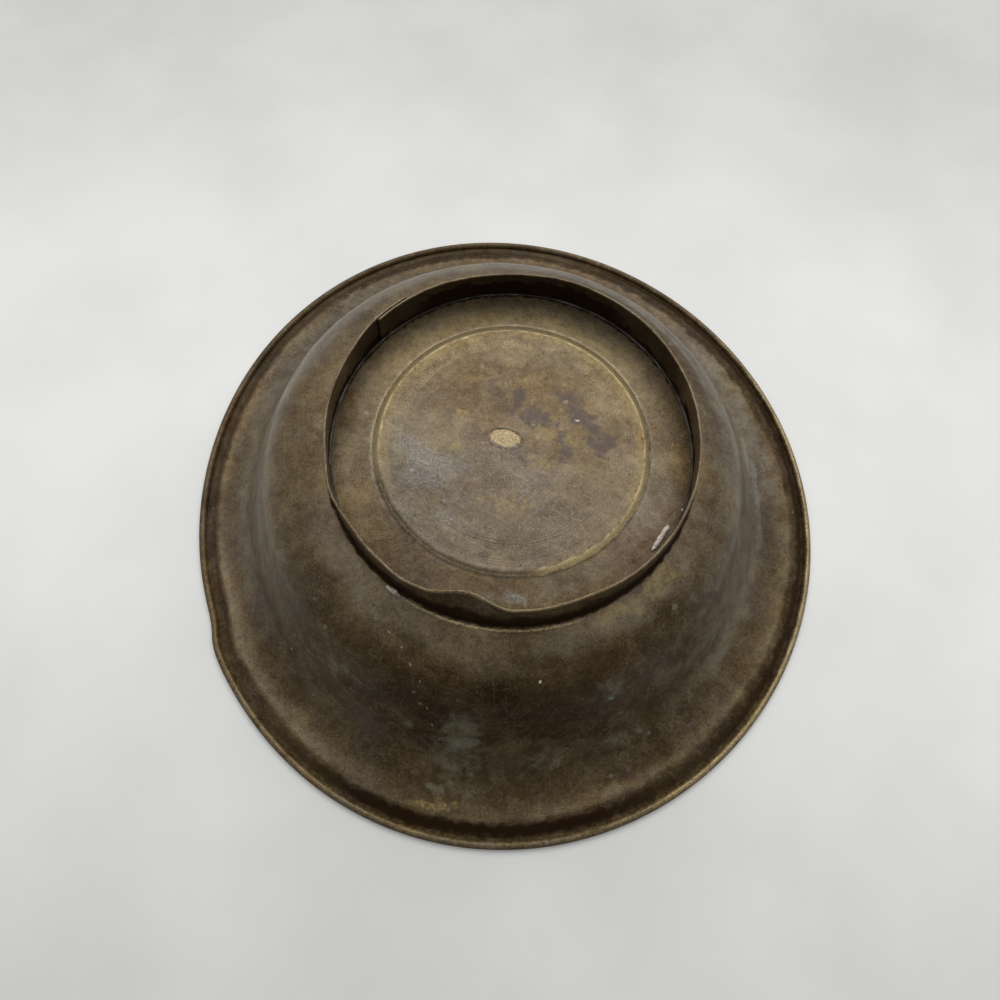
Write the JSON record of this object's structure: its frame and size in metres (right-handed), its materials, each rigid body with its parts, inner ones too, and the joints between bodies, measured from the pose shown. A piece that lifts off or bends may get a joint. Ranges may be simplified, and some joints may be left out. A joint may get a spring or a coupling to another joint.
{
  "type": "footed bowl",
  "caption": "Wide footed brass bowl turned over on its rolled rim, with a soldered foot ring and a raised disc in the base.",
  "frame": {"origin": "centre of the rim, in the plane that the turned-over bowl rests on", "axes": "+Z out of the foot ring, away from the surface that the rim rests on; the bowl is turned over half a turn about X for use; the seam in the foot ring lies 131 degrees from +X towards +Y, and -Y is the side nearest to the camera in the picture"},
  "size_m": [0.2973, 0.3124, 0.0787],
  "materials": {
    "bowl_brass": "aged, dark brown and olive patina, half matt",
    "foot_brass": "aged, dark brown patina with a worn bright edge",
    "rim_wire_brass": "dull drawn wire",
    "solder": "grey and whitish soft solder, half matt"
  },
  "bodies": {
    "root": {"bowl_body": "bowl_brass", "rim_wire": "rim_wire_brass", "foot_ring": "foot_brass", "foot_solder_seam": "solder", "solder_lump_inside": "solder", "solder_lump_outside": "solder"}
  },
  "joints": []
}
